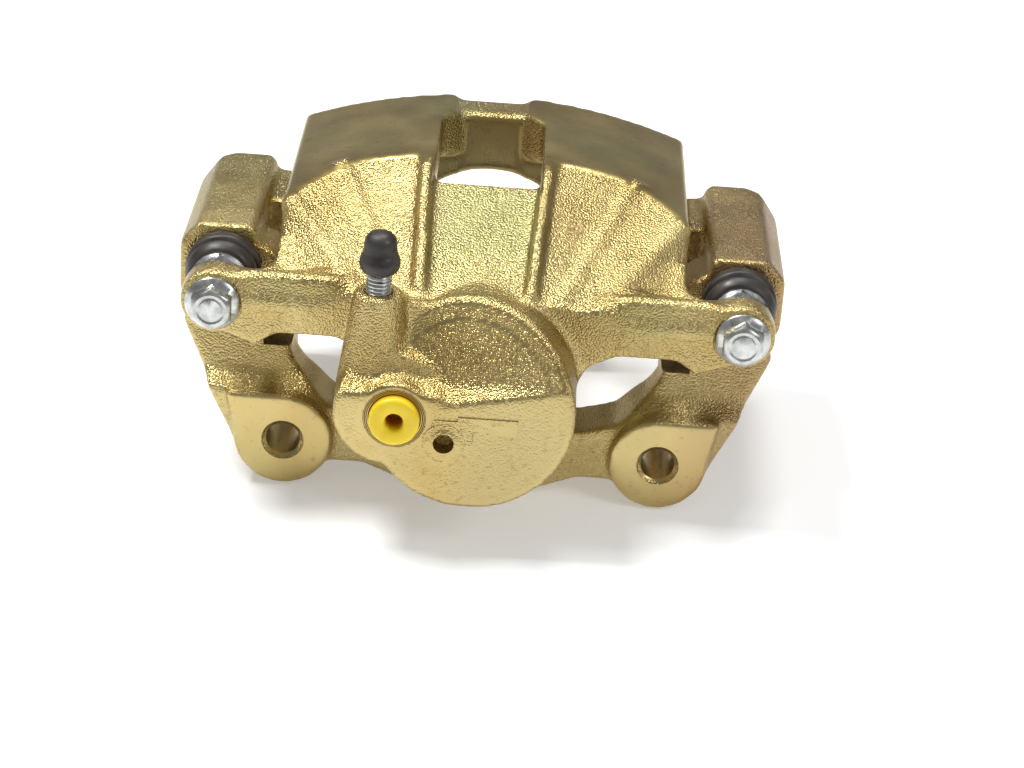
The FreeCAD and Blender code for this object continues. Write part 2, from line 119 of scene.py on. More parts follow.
def turned(name, profile, center, axis=(0, 1, 0), steps=72):
    # profile holds (along, radius) in mm from center
    along = Vector(axis)
    out = Vector((1, 0, 0))
    start = Vector(center) * mm
    points = [tuple(start + along * distance * mm + out * radius * mm) for distance, radius in profile]
    piece = edgeLine(name, points)
    pick(piece)
    bpy.ops.object.mode_set(mode="EDIT")
    bpy.ops.mesh.select_all(action="SELECT")
    bpy.ops.mesh.spin(steps=steps, angle=2 * math.pi, center=tuple(start), axis=axis)
    bpy.ops.mesh.select_all(action="SELECT")
    bpy.ops.mesh.remove_doubles(threshold=1e-6)
    bpy.ops.mesh.normals_make_consistent(inside=False)
    bpy.ops.object.mode_set(mode="OBJECT")
    return piece


def soft(points, steps=5):
    # Smooth curve through the points, for rubber
    padded = [points[0]] + points + [points[-1]]
    curve = []
    for index in range(1, len(padded) - 2):
        before, first, second, after = [Vector(point) for point in padded[index - 1:index + 3]]
        for step in range(steps):
            t = step / steps
            bend = (2 * before - 5 * first + 4 * second - after) * t * t
            twist = (3 * first - before - 3 * second + after) * t * t * t
            curve.append(tuple((2 * first + (second - before) * t + bend + twist) / 2))
    return curve + [tuple(points[-1])]


def closed(points):
    return points + points[:1]


def boxPiece(name, low, high):
    low = Vector(low)
    high = Vector(high)
    deselectAll()
    bpy.ops.mesh.primitive_cube_add(size=1, location=(low + high) / 2 * mm)
    piece = bpy.context.object
    piece.name = name
    piece.scale = (high - low) * mm
    bpy.ops.object.transform_apply(location=True, rotation=True, scale=True)
    return piece


def cylinderPiece(name, center, axis, radius, length, sides=64):
    # center is the middle of its length
    deselectAll()
    turn = Vector(axis).to_track_quat("Z", "Y").to_euler()
    bpy.ops.mesh.primitive_cylinder_add(
        vertices=sides, radius=radius * mm, depth=length * mm, location=Vector(center) * mm, rotation=turn)
    piece = bpy.context.object
    piece.name = name
    bpy.ops.object.transform_apply(location=True, rotation=True, scale=True)
    return piece


def barPiece(name, start, end, startRadius, endRadius):
    # Tapered round bar between two points
    start = Vector(start)
    end = Vector(end)
    deselectAll()
    bpy.ops.mesh.primitive_cone_add(
        vertices=32, radius1=startRadius * mm, radius2=endRadius * mm, depth=(end - start).length * mm,
        location=(start + end) / 2 * mm, rotation=(end - start).to_track_quat("Z", "Y").to_euler())
    piece = bpy.context.object
    piece.name = name
    bpy.ops.object.transform_apply(location=True, rotation=True, scale=True)
    return piece


def hexPiece(name, center, axis, flats, length):
    return cylinderPiece(name, center, axis, flats / math.sqrt(3), length, sides=6)


def combine(piece, others, operation="DIFFERENCE"):
    for other in others:
        applyModifier(piece, "BOOLEAN", operation=operation, solver="MANIFOLD", object=other)
        bpy.data.objects.remove(other)
    return piece


def softenEdges(piece, width, segments=2, angle=30):
    applyModifier(piece, "BEVEL", width=width * mm, segments=segments, limit_method="ANGLE",
                  angle_limit=math.radians(angle), use_clamp_overlap=True, miter_outer="MITER_ARC")
    return piece


# Camera, light and floor

camera = {"lens": 98.4, "distance": 868, "elevation": 25.5, "roll": 4.0, "aim": (11.7, 0, 24.9)}


def makeCamera():
    data = bpy.data.cameras.new("camera")
    data.lens = camera["lens"]
    data.clip_end = 10
    piece = bpy.data.objects.new("camera", data)
    bpy.context.scene.collection.objects.link(piece)
    tilt = math.radians(camera["elevation"])
    away = Vector((0, -math.cos(tilt), math.sin(tilt)))
    piece.location = (Vector(camera["aim"]) + away * camera["distance"]) * mm
    level = Matrix.Rotation(math.radians(90 - camera["elevation"]), 4, "X")
    rolled = level @ Matrix.Rotation(math.radians(camera["roll"]), 4, "Z")
    piece.rotation_euler = rolled.to_euler()
    bpy.context.scene.camera = piece


stage = {"size": 6.0, "bossAt": 2, "fingerAt": 95, "grey": 0.86, "glow": 0.30}


def makeStage():
    # The caliper stands on its bosses and its fingers, so the floor leans a little
    bossLow = span("bracket")[0].z
    fingerLow = span("caliper_housing")[0].z
    rise = (fingerLow - bossLow) / (stage["fingerAt"] - stage["bossAt"])
    deselectAll()
    bpy.ops.mesh.primitive_plane_add(size=stage["size"])
    floor = bpy.context.object
    floor.name = "floor"
    floor.rotation_euler = (math.atan(rise), 0, 0)
    floor.location = (0, 0, (bossLow - rise * stage["bossAt"] - 0.4) * mm)
    bpy.ops.object.transform_apply(location=True, rotation=True, scale=True)
    material = bpy.data.materials.new("paleFloor")
    material.use_nodes = True
    shader = material.node_tree.nodes["Principled BSDF"]
    shader.inputs["Base Color"].default_value = (stage["grey"], stage["grey"], stage["grey"], 1)
    shader.inputs["Roughness"].default_value = 0.7
    shader.inputs["Emission Color"].default_value = (1, 1, 1, 1)
    shader.inputs["Emission Strength"].default_value = stage["glow"]
    floor.data.materials.append(material)


lights = {
    "key": {"place": (-0.50, 0.05, 1.1), "size": 0.31, "power": 12},
    "fill": {"place": (0.9, -0.6, 0.8), "size": 0.5, "power": 3.5},
    "top": {"place": (0.10, 0.30, 1.2), "size": 0.28, "power": 6},
}
worldGrey = 0.30


def makeLights():
    for name, light in lights.items():
        data = bpy.data.lights.new(name, "AREA")
        data.size = light["size"]
        data.energy = light["power"]
        piece = bpy.data.objects.new(name, data)
        bpy.context.scene.collection.objects.link(piece)
        piece.location = light["place"]
        piece.rotation_euler = (Vector((0, 0.03, 0.03)) - piece.location).to_track_quat("-Z", "Y").to_euler()
    world = bpy.data.worlds.new("softRoom")
    world.use_nodes = True
    background = world.node_tree.nodes["Background"]
    background.inputs["Color"].default_value = (worldGrey, worldGrey, worldGrey, 1)
    bpy.context.scene.world = world
    bpy.context.scene.view_settings.view_transform = "Standard"


makeCamera()
makeStage()
makeLights()
print("camera, floor and lights")


# Materials

class Wiring:
    # Short names for adding and joining shader nodes
    def __init__(self, tree):
        self.tree = tree

    def add(self, kind, **values):
        node = self.tree.nodes.new(kind)
        for key, value in values.items():
            setattr(node, key, value)
        return node

    def link(self, source, target):
        self.tree.links.new(source, target)

    def place(self):
        return self.add("ShaderNodeTexCoord").outputs["Object"]

    def stretched(self, x, y, z):
        node = self.add("ShaderNodeMapping")
        node.inputs["Scale"].default_value = (x, y, z)
        self.link(self.place(), node.inputs["Vector"])
        return node.outputs["Vector"]

    def axes(self):
        node = self.add("ShaderNodeSeparateXYZ")
        self.link(self.place(), node.inputs["Vector"])
        return node.outputs

    def noise(self, scale, detail=2.0, rough=0.5, where=None):
        node = self.add("ShaderNodeTexNoise")
        node.inputs["Scale"].default_value = scale
        node.inputs["Detail"].default_value = detail
        node.inputs["Roughness"].default_value = rough
        self.link(where or self.place(), node.inputs["Vector"])
        return node.outputs["Fac"]

    def ramp(self, value, stops):
        node = self.add("ShaderNodeValToRGB")
        elements = node.color_ramp.elements
        while len(elements) < len(stops):
            elements.new(0.5)
        for element, (position, color) in zip(elements, stops):
            element.position = position
            element.color = (*color, 1)
        self.link(value, node.inputs["Fac"])
        return node.outputs["Color"]

    def mixColor(self, factor, first, second):
        node = self.add("ShaderNodeMix", data_type="RGBA")
        for value, key in ((factor, 0), (first, 6), (second, 7)):
            if isinstance(value, (int, float)):
                node.inputs[key].default_value = value
            elif isinstance(value, tuple):
                node.inputs[key].default_value = (*value, 1)
            else:
                self.link(value, node.inputs[key])
        return node.outputs[2]

    def span(self, value, low, high, toLow=0.0, toHigh=1.0):
        node = self.add("ShaderNodeMapRange")
        node.inputs["From Min"].default_value = low
        node.inputs["From Max"].default_value = high
        node.inputs["To Min"].default_value = toLow
        node.inputs["To Max"].default_value = toHigh
        self.link(value, node.inputs["Value"])
        return node.outputs["Result"]

    def maths(self, operation, first, second=0.0):
        node = self.add("ShaderNodeMath", operation=operation)
        for index, value in enumerate((first, second)):
            if isinstance(value, (int, float)):
                node.inputs[index].default_value = value
            else:
                self.link(value, node.inputs[index])
        return node.outputs["Value"]

    def bump(self, height, strength, distance):
        node = self.add("ShaderNodeBump")
        node.inputs["Distance"].default_value = distance
        if isinstance(strength, (int, float)):
            node.inputs["Strength"].default_value = strength
        else:
            self.link(strength, node.inputs["Strength"])
        self.link(height, node.inputs["Height"])
        return node.outputs["Normal"]


def newMaterial(name):
    material = bpy.data.materials.new(name)
    material.use_nodes = True
    shader = material.node_tree.nodes["Principled BSDF"]
    return material, shader.inputs, Wiring(material.node_tree)


gold = {
    "pale": (0.57, 0.455, 0.200),
    "deep": (0.42, 0.305, 0.112),
    "green": (0.34, 0.355, 0.16),
    # brown serves both the coat's random brown patches and the painted shade towards +X
    "brown": (0.36, 0.225, 0.115),
    "grainSize": 0.62,
    "grainDepth": 0.30,
    "castRoughness": 0.31,
    "machinedRoughness": 0.30,
}


def castGold(name, rightShadeFrom, rightShadeStrength):
    # Yellow zinc chromate on cast iron: sandy where cast, finely scored where machined. Towards +X the colour browns
    # as painted shade.
    material, inputs, wiring = newMaterial(name)
    machined = wiring.add("ShaderNodeAttribute", attribute_name="machined").outputs["Fac"]
    color = wiring.ramp(wiring.noise(30, 3), [(0.30, gold["deep"]), (0.62, gold["pale"])])
    greenish = wiring.span(wiring.noise(17, 2), 0.50, 0.70, 0, 0.45)
    color = wiring.mixColor(greenish, color, gold["green"])
    axes = wiring.axes()
    acrossChannel = wiring.span(wiring.maths("ABSOLUTE", axes["X"]), 13 * mm, 18 * mm, 1, 0)
    overChannel = wiring.maths("MULTIPLY", acrossChannel, wiring.span(axes["Z"], 58 * mm, 66 * mm, 0, 0.7))
    overChannel = wiring.maths("MULTIPLY", overChannel, wiring.span(axes["Y"], 36 * mm, 42 * mm, 1, 0))
    color = wiring.mixColor(overChannel, color, gold["green"])
    patches = wiring.span(wiring.noise(13, 2), 0.52, 0.74, 0, 0.4)
    # painted shade: the colour turns brown towards +X, standing in for the darker reflections on the right side; the
    # random patches are the coat's own tone
    rightSideShade = wiring.span(axes["X"], rightShadeFrom[0] * mm, rightShadeFrom[1] * mm, 0, rightShadeStrength)
    color = wiring.mixColor(wiring.maths("MAXIMUM", patches, rightSideShade), color, gold["brown"])
    speck = wiring.span(wiring.noise(420, 2, 0.6), 0.60, 0.75, 0, 0.45)
    color = wiring.mixColor(speck, color, (0.22, 0.16, 0.06))
    wiring.link(color, inputs["Base Color"])
    inputs["Metallic"].default_value = 1.0
    grainScale = 1000 / gold["grainSize"]
    sand = wiring.add("ShaderNodeTexVoronoi", feature="F1")
    sand.inputs["Scale"].default_value = grainScale
    wiring.link(wiring.place(), sand.inputs["Vector"])
    swell = wiring.noise(grainScale * 0.45, 3, 0.6)
    height = wiring.maths("SUBTRACT", wiring.maths("MULTIPLY", swell, 1.1), sand.outputs["Distance"])
    wiring.link(wiring.bump(height, wiring.span(machined, 0, 1, 0.85, 0.09), gold["grainDepth"] * mm),
                inputs["Normal"])
    smear = wiring.span(wiring.noise(60, 3), 0.3, 0.7, -0.05, 0.07)
    rough = wiring.span(machined, 0, 1, gold["castRoughness"], gold["machinedRoughness"])
    wiring.link(wiring.maths("ADD", rough, smear), inputs["Roughness"])
    return material


zinc = {"light": (0.60, 0.61, 0.59), "dull": (0.40, 0.41, 0.40), "roughness": 0.26}


def zincSteel():
    # Clear zinc plating: silver, a little cloudy
    material, inputs, wiring = newMaterial("zincSteel")
    wiring.link(wiring.ramp(wiring.noise(260, 3), [(0.35, zinc["dull"]), (0.6, zinc["light"])]),
                inputs["Base Color"])
    inputs["Metallic"].default_value = 1.0
    wiring.link(wiring.span(wiring.noise(500, 2), 0.3, 0.7, zinc["roughness"] - 0.06, zinc["roughness"] + 0.1),
                inputs["Roughness"])
    wiring.link(wiring.bump(wiring.noise(1500, 2), 0.25, 0.05 * mm), inputs["Normal"])
    return material


rubber = {"black": (0.018, 0.014, 0.012), "dusty": (0.050, 0.040, 0.034), "roughness": 0.42}


def blackRubber():
    # Moulded rubber with a dusty bloom
    material, inputs, wiring = newMaterial("blackRubber")
    wiring.link(wiring.ramp(wiring.noise(180, 4), [(0.38, rubber["black"]), (0.68, rubber["dusty"])]),
                inputs["Base Color"])
    wiring.link(wiring.span(wiring.noise(240, 3), 0.3, 0.7, rubber["roughness"] - 0.08, rubber["roughness"] + 0.14),
                inputs["Roughness"])
    wiring.link(wiring.bump(wiring.noise(1200, 3), 0.3, 0.06 * mm), inputs["Normal"])
    return material


plastic = {
    "yellow": (0.86, 0.64, 0.012), "orange": (0.72, 0.42, 0.010), "deep": (0.42, 0.13, 0.004), "roughness": 0.38,
}


def yellowPlastic():
    # Waxy polyethylene, with painted shade darkening it down its hole
    material, inputs, wiring = newMaterial("yellowPlastic")
    clouds = wiring.ramp(wiring.noise(220, 2), [(0.35, plastic["orange"]), (0.50, plastic["yellow"])])
    color = wiring.mixColor(0.75, clouds, plastic["yellow"])
    # painted shade: the colour darkens towards plastic deep from the mouth of the hole inwards
    front = span("inlet_plug")[0].y
    depth = wiring.span(wiring.axes()["Y"], (front + 0.6) * mm, (front + 5) * mm, 0, 0.9)
    wiring.link(wiring.mixColor(depth, color, plastic["deep"]), inputs["Base Color"])
    inputs["Subsurface Weight"].default_value = 0.35
    inputs["Subsurface Radius"].default_value = (0.004, 0.0025, 0.0004)
    inputs["Roughness"].default_value = plastic["roughness"]
    wiring.link(wiring.bump(wiring.noise(900, 2), 0.2, 0.06 * mm), inputs["Normal"])
    return material


chrome = {"light": (0.66, 0.67, 0.69), "dull": (0.56, 0.57, 0.58), "roughness": 0.10}


def chromedSteel():
    # Ground and chromed: fine rings round the piston
    material, inputs, wiring = newMaterial("chromedSteel")
    wiring.link(wiring.ramp(wiring.noise(90, 2), [(0.35, chrome["dull"]), (0.6, chrome["light"])]),
                inputs["Base Color"])
    inputs["Metallic"].default_value = 1.0
    inputs["Roughness"].default_value = chrome["roughness"]
    rings = wiring.noise(60, 2, where=wiring.stretched(1, 60, 1))
    wiring.link(wiring.bump(rings, 0.15, 0.02 * mm), inputs["Normal"])
    return material


sheet = {"light": (0.62, 0.60, 0.56), "dull": (0.44, 0.42, 0.38), "roughness": 0.20}


def stainlessSheet():
    # Rolled spring sheet, lined along its length
    material, inputs, wiring = newMaterial("stainlessSheet")
    lines = wiring.noise(40, 3, where=wiring.stretched(30, 1, 30))
    wiring.link(wiring.ramp(lines, [(0.35, sheet["dull"]), (0.62, sheet["light"])]), inputs["Base Color"])
    inputs["Metallic"].default_value = 1.0
    wiring.link(wiring.span(lines, 0.3, 0.7, sheet["roughness"], sheet["roughness"] + 0.14), inputs["Roughness"])
    wiring.link(wiring.bump(lines, 0.12, 0.03 * mm), inputs["Normal"])
    return material


# Both castings get painted shade that browns them towards +X, the bracket most strongly
castHousing = castGold("castYellowHousing", (55, 130), 0.25)
castBracket = castGold("castYellowBracket", (50, 84), 0.62)
zincMetal = zincSteel()
rubberBlack = blackRubber()
plasticYellow = yellowPlastic()
chromeMetal = chromedSteel()
sheetMetal = stainlessSheet()
print("materials")


def finishPiece(piece, name, material, body, node, angle=35):
    finishShape(piece, name, angle)
    piece.data.materials.clear()
    piece.data.materials.append(material)
    if body:
        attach(piece, body)
    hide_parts(node)
    return piece


# Guide bolts and guide pins

boltSizes = {"flats": 12.0, "headHeight": 6.6, "flange": 8.5, "shank": 3.95, "pitch": 1.25}


def threadLine(start, end, outer, pitch, depth):
    # Points of a thread's crests and roots
    points = []
    along = start
    while along + pitch <= end:
        points += [(along, outer - depth), (along + pitch * 0.35, outer), (along + pitch * 0.6, outer)]
        along += pitch
    return points + [(end, outer - depth)]


def makeGuideBolt(word):
    node = "guide_bolt_" + word
    low, high = span(node)
    center = middle(node)
    size = boltSizes
    top = low.y
    face = top + size["headHeight"]
    rim = size["flange"]
    head = hexPiece("head", (center.x, (top + face) / 2 - 0.2, center.z), (0, 1, 0), size["flats"], face - top + 0.4)
    pick(head)
    corners = turned("corners", closed([
        (top + 0.02, 0), (top + 0.02, 5.1), (top + 0.5, 5.9), (top + 1.7, 7.1), (face, 7.4), (face, 0)]),
        (center.x, 0, center.z))
    combine(head, [corners], "INTERSECT")
    flange = turned("flange", [
        (face, 0), (face, rim - 0.3), (face - 0.35, rim), (face - 0.9, rim), (face - 1.35, rim - 0.35),
        (face - 2.4, 6.3), (face - 2.5, 0)], (center.x, 0, center.z))
    shank = turned("shank", [(face - 1, 0), (face - 1, size["shank"]), (face + 9.5, size["shank"])]
                   + threadLine(face + 9.6, high.y - 0.7, size["shank"], size["pitch"], 0.55)
                   + [(high.y, 3.0), (high.y, 0)], (center.x, 0, center.z))
    combine(head, [flange, shank], "UNION")
    ring = turned("dish", closed([
        (top - 1, 3.5), (top - 1, 4.5), (top + 0.1, 4.3), (top + 0.3, 3.9), (top + 0.1, 3.5)]),
        (center.x, 0, center.z))
    combine(head, [ring])
    softenEdges(head, 0.14)
    finishPiece(head, "guideBolt" + word.title(), zincMetal, "caliper", node, 40)


pinSizes = {"flats": 16.0, "flange": 9.0, "radius": 5.5, "collar": 8.0, "bushLength": 14.0, "bushInner": 3.9}


def makeGuidePin(word):
    # The right-hand pin is thinner at its end, where the rubber bush sits
    node = "guide_pin_" + word
    low, high = span(node)
    center = middle(node)
    size = pinSizes
    place = (center.x, 0, center.z)
    radius = size["radius"]
    collar = size["collar"]
    piece = hexPiece("collar", (center.x, low.y + 3.2, center.z), (0, 1, 0), size["flats"], 6.4)
    corners = turned("corners", closed([
        (low.y, 0), (low.y, 7.9), (low.y + 1.0, 9.2), (low.y + 6.4, 9.2), (low.y + 6.4, 0)]), place)
    combine(piece, [corners], "INTERSECT")
    flange = turned("flange", [(low.y + 5.2, 0), (low.y + 5.2, 7.4), (low.y + 6.7, size["flange"]),
                               (collar - 0.3, size["flange"]), (collar, size["flange"] - 0.3), (collar, 0)], place)
    bushed = word == "right"
    tip = size["bushInner"] if bushed else radius
    shoulder = high.y - size["bushLength"]
    shank = turned("shank", [
        (collar - 1, 0), (collar - 1, 5.9), (collar + 2.2, 5.9), (collar + 2.5, radius), (shoulder, radius),
        (shoulder, tip), (high.y - 0.6, tip), (high.y, tip - 0.6), (high.y, 0)], place)
    combine(piece, [flange, shank], "UNION")
    if not bushed:
        flats = []
        for turn in (45, 135, 225, 315):
            out = Vector((math.cos(math.radians(turn)), 0, math.sin(math.radians(turn)))) * (radius + 0.35)
            flats.append(cylinderPiece("groove", Vector((center.x, 50, center.z)) + out, (0, 1, 0), 0.75, 44, 24))
        combine(piece, flats)
    bore = turned("thread", [(low.y - 1, 0), (low.y - 1, 4.6), (low.y, 4.6), (low.y + 0.6, 4.0), (low.y + 17.1, 4.0),
                             (low.y + 19.3, 0)], place)
    combine(piece, [bore])
    softenEdges(piece, 0.14)
    finishPiece(piece, "guidePin" + word.title(), zincMetal, "caliper", node, 40)


bootSizes = {"lipDepth": 3.6, "lipRadius": 8.95, "lipHole": 7.1, "mouth": 6.35, "restsFor": 0.6}


def makePinBoot(word):
    node = "pin_boot_" + word
    size = bootSizes
    low, high = span(node)
    center = middle(node)
    start = low.y
    face = high.y - size["lipDepth"]
    wide = (high.x - low.x) / 2
    lipRadius, lipHole, mouth = size["lipRadius"], size["lipHole"], size["mouth"]
    outer = soft([
        (start, 9.1), (start + 0.5, 9.9), (start + 1.9, wide - 0.9), (start + 3.3, wide - 0.5),
        (start + 4.4, wide - 1.3), (start + 4.9, wide - 2.6), (start + 5.5, wide - 1.3), (start + 6.5, wide - 0.1),
        (start + 8.4, wide - 0.05), (face - 1.5, wide - 0.2), (face - 0.3, wide - 1.0), (face - 0.05, wide - 1.9)])
    lip = [(face - 0.05, lipRadius), (high.y - 0.3, lipRadius), (high.y, lipRadius - 0.35),
           (high.y, lipHole + 0.2), (high.y - 0.3, lipHole), (face - 1, lipHole)]
    inner = soft([
        (face - 1.2, 7.3), (start + 7.4, wide - 1.9), (start + 6.1, wide - 2.3), (start + 4.9, wide - 4.2),
        (start + 3.5, wide - 2.4), (start + 2.3, 7.6), (start + 1.5, mouth + 0.05), (start, mouth)])
    profile = closed([(start, mouth)] + outer + lip + inner[:-1])
    piece = turned("boot", profile, (center.x, 0, center.z), steps=96)
    finishPiece(piece, "pinBoot" + word.title(), rubberBlack, None, node, 45)
    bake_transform(piece)


bushSizes = {"inner": 3.92, "firstGroove": 2.0, "grooveSpacing": 2.6, "grooveDepth": 0.5}


def makeBushing():
    size = bushSizes
    inner = size["inner"]
    low, high = span("pin_bushing")
    center = middle("pin_bushing")
    outer = (high.x - low.x) / 2
    points = [(low.y, inner), (low.y, outer - 0.3), (low.y + 0.4, outer)]
    along = low.y + size["firstGroove"]
    root = outer - size["grooveDepth"]
    while along < high.y - 2.5:
        points += [(along, outer), (along + 0.3, root), (along + 0.9, root), (along + 1.2, outer)]
        along += size["grooveSpacing"]
    points += [(high.y - 0.6, outer), (high.y, outer - 0.5), (high.y, inner)]
    piece = turned("bushing", closed(points), (center.x, 0, center.z))
    finishPiece(piece, "pinBushing", rubberBlack, "caliper", "pin_bushing", 40)


for word in ("left", "right"):
    makeGuideBolt(word)
    makeGuidePin(word)
    makePinBoot(word)
makeBushing()
print("guide pins")


# Piston and what seals it

pistonSizes = {"wall": 4.0, "floor": 5.0, "groove": 1.6}


def makePiston():
    low, high = span("piston")
    center = middle("piston")
    size = pistonSizes
    radius = (high.x - low.x) / 2
    base, rim = low.y, high.y
    inner = radius - size["wall"]
    points = [
        (base, 0), (base, radius - 1.9), (base + 0.35, radius - 1.1), (base + 1.1, radius - 0.35),
        (base + 2.0, radius), (rim - 5.3, radius), (rim - 5.1, radius - 0.2), (rim - 5.1, radius - 1.5),
        (rim - 4.9, radius - size["groove"]), (rim - 2.7, radius - size["groove"]), (rim - 2.5, radius - 1.4),
        (rim - 2.5, radius - 0.2), (rim - 2.3, radius), (rim - 0.5, radius), (rim, radius - 0.5),
        (rim, inner + 0.6), (rim - 0.6, inner), (base + 8, inner), (base + 6.4, inner - 0.7),
        (base + 5.3, inner - 2.4), (base + size["floor"], inner - 4), (base + size["floor"], 0)]
    piece = turned("piston", points, (0, 0, center.z), steps=128)
    finishPiece(piece, "pistonCup", chromeMetal, "piston", "piston", 40)


sealSizes = {"clearance": 0.05, "corner": 0.3}


def makeSeal():
    low, high = span("piston_seal")
    center = middle("piston_seal")
    inner = span("piston")[1].x + sealSizes["clearance"]
    outer = high.x
    edge = sealSizes["corner"]
    points = [(low.y + edge, inner), (low.y, inner + edge), (low.y, outer - edge), (low.y + edge, outer),
              (high.y - edge, outer), (high.y, outer - edge), (high.y, inner + edge), (high.y - edge, inner)]
    piece = turned("seal", closed(points), (0, 0, center.z), steps=128)
    finishPiece(piece, "pistonSeal", rubberBlack, "caliper", "piston_seal", 50)


pistonBootSizes = {"clearance": 0.3, "sheet": 1.0, "restsFor": 2.7, "lipFor": 2.0}


def makePistonBoot():
    size = pistonBootSizes
    sheetWide = size["sheet"]
    low, high = span("piston_boot")
    center = middle("piston_boot")
    inner = span("piston")[1].x + size["clearance"]
    outer = high.x
    floor, lip = low.y, high.y
    back = [(floor, inner + sheetWide), (floor, outer - 0.2), (floor + 0.2, outer), (floor + 2.4, outer),
            (floor + 2.6, outer - 0.2)]
    front = soft([(floor + 2.6, inner + 2.1), (floor + 3.2, inner + 1.95), (floor + 4.8, inner + 2.1),
                  (floor + 5.8, inner + 1.6), (floor + 6.6, inner + sheetWide), (lip - 0.3, inner + sheetWide),
                  (lip, inner + 0.7)])
    hollow = [(lip, inner), (lip - 2.8, inner), (floor + 4.2, inner + 1.1), (floor + 2.6, inner + sheetWide)]
    piece = turned("boot", closed(back + front + hollow), (0, 0, center.z), steps=128)
    finishPiece(piece, "pistonBoot", rubberBlack, None, "piston_boot", 45)
    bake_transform(piece)


def makeRing():
    low, high = span("boot_retaining_ring")
    center = middle("boot_retaining_ring")
    wire = (high.y - low.y) / 2
    deselectAll()
    bpy.ops.mesh.primitive_torus_add(
        major_radius=(high.x - wire) * mm, minor_radius=wire * mm, major_segments=160, minor_segments=20,
        location=center * mm, rotation=(math.radians(90), 0, 0))
    finishPiece(bpy.context.object, "bootRing", zincMetal, "caliper", "boot_retaining_ring", 60)


makePiston()
makeSeal()
makePistonBoot()
makeRing()
print("piston")


# Bleed screw, its cap, and the plug of the hose port

bleedSizes = {"flats": 8.0, "hexFrom": 24.1, "hexHeight": 4.6, "radius": 3.9, "pitch": 1.25, "bore": 1.0}


def makeBleedScrew():
    low, high = span("bleed_screw")
    center = middle("bleed_screw")
    size = bleedSizes
    radius = size["radius"]
    hexLow = low.z + size["hexFrom"]
    hexHigh = hexLow + size["hexHeight"]
    place = (center.x, center.y, 0)
    up = (0, 0, 1)
    points = [(low.z, 0), (low.z, 0.9), (low.z + 2.4, radius - 0.9)]
    points += threadLine(low.z + 2.6, hexLow - 1.2, radius, size["pitch"], 0.5)
    points += [(hexLow - 1.0, 3.2), (hexLow + 0.5, 3.2), (hexHigh - 0.1, 3.1), (hexHigh + 0.4, 2.5),
               (hexHigh + 1.0, 2.4), (hexHigh + 2.3, 3.0), (hexHigh + 2.7, 3.15), (hexHigh + 3.1, 3.0),
               (high.z - 0.3, 2.2), (high.z, 1.9), (high.z, 0)]
    piece = turned("screw", points, place, up)
    head = hexPiece("hex", (center.x, center.y, (hexLow + hexHigh) / 2), up, size["flats"] - 0.02, size["hexHeight"])
    corners = turned("corners", closed([(hexLow, 0), (hexLow, 4.1), (hexLow + 0.5, 4.62), (hexHigh - 0.5, 4.62),
                                        (hexHigh, 4.0), (hexHigh, 0)]), place, up)
    combine(head, [corners], "INTERSECT")
    combine(piece, [head], "UNION")
    bore = cylinderPiece("bore", (center.x, center.y, (low.z + 4 + high.z + 2) / 2), up, size["bore"],
                         high.z - low.z - 2, 32)
    cross = cylinderPiece("cross", (center.x, center.y, low.z + 4.4), (1, 0, 0), 0.9, 12, 32)
    combine(piece, [bore, cross])
    finishPiece(piece, "bleedScrew", zincMetal, "bleed_screw", "bleed_screw", 35)


def makeBleedCap():
    low, high = span("bleed_cap")
    center = middle("bleed_cap")
    start = low.z
    wide = (high.x - low.x) / 2
    outer = soft([
        (start, 5.15), (start + 0.35, 5.55), (start + 1.6, wide - 0.15), (start + 3.2, wide - 0.02),
        (start + 4.8, wide - 0.5), (start + 6.0, wide - 1.0), (start + 7.4, wide - 1.2), (start + 9.2, wide - 1.3),
        (start + 10.6, wide - 1.75), (start + 11.7, wide - 2.7), (start + 12.4, 2.0), (start + 12.66, 0.02)])
    inside = [(start + 12.66, 0), (start + 10.4, 0), (start + 10.2, 3.5), (start + 6.2, 3.5), (start + 5.2, 5.0),
              (start, 5.0)]
    piece = turned("cap", closed(outer + inside), (center.x, center.y, 0), (0, 0, 1), steps=96)
    finishPiece(piece, "bleedCap", rubberBlack, "bleed_cap", "bleed_cap", 50)


plugSizes = {"flangeHeight": 4.0, "hollow": 2.9, "hollowDepth": 8.0}


def makePlug():
    low, high = span("inlet_plug")
    center = middle("inlet_plug")
    size = plugSizes
    front = low.y
    back = front + size["flangeHeight"]
    wide = (high.x - low.x) / 2
    hollow = size["hollow"]
    points = [
        (front + size["hollowDepth"], 0), (front + size["hollowDepth"], hollow - 0.5),
        (front + 1.2, hollow - 0.2), (front + 0.5, hollow), (front + 0.05, hollow + 0.6), (front, wide - 1.1),
        (front + 0.25, wide - 0.45), (front + 0.8, wide), (back - 0.6, wide), (back, wide - 0.5), (back, 4.7),
        (back + 1.4, 4.7), (back + 1.8, 4.45), (back + 2.4, 4.7), (back + 4.2, 4.45), (back + 5, 4.7),
        (high.y - 1, 4.4), (high.y, 3.6), (high.y, 0)]
    piece = turned("plug", points, (center.x, 0, center.z), steps=96)
    finishPiece(piece, "inletPlug", plasticYellow, "inlet_plug", "inlet_plug", 40)


makeBleedScrew()
makeBleedCap()
makePlug()
print("bleed screw, cap and plug")


# Pad clips

def copyNode(node, name):
    # A node's mesh with its loose points merged
    source = frame["nodes"][node]
    piece = source.copy()
    piece.data = source.data.copy()
    piece.parent = None
    bpy.context.scene.collection.objects.link(piece)
    for key in list(piece.keys()):
        del piece[key]
    piece.name = name
    pick(piece)
    bpy.ops.object.mode_set(mode="EDIT")
    bpy.ops.mesh.select_all(action="SELECT")
    bpy.ops.mesh.remove_doubles(threshold=1e-6)
    bpy.ops.mesh.dissolve_limited(angle_limit=math.radians(1))
    bpy.ops.object.mode_set(mode="OBJECT")
    return piece


clipSizes = {"edge": 0.14}


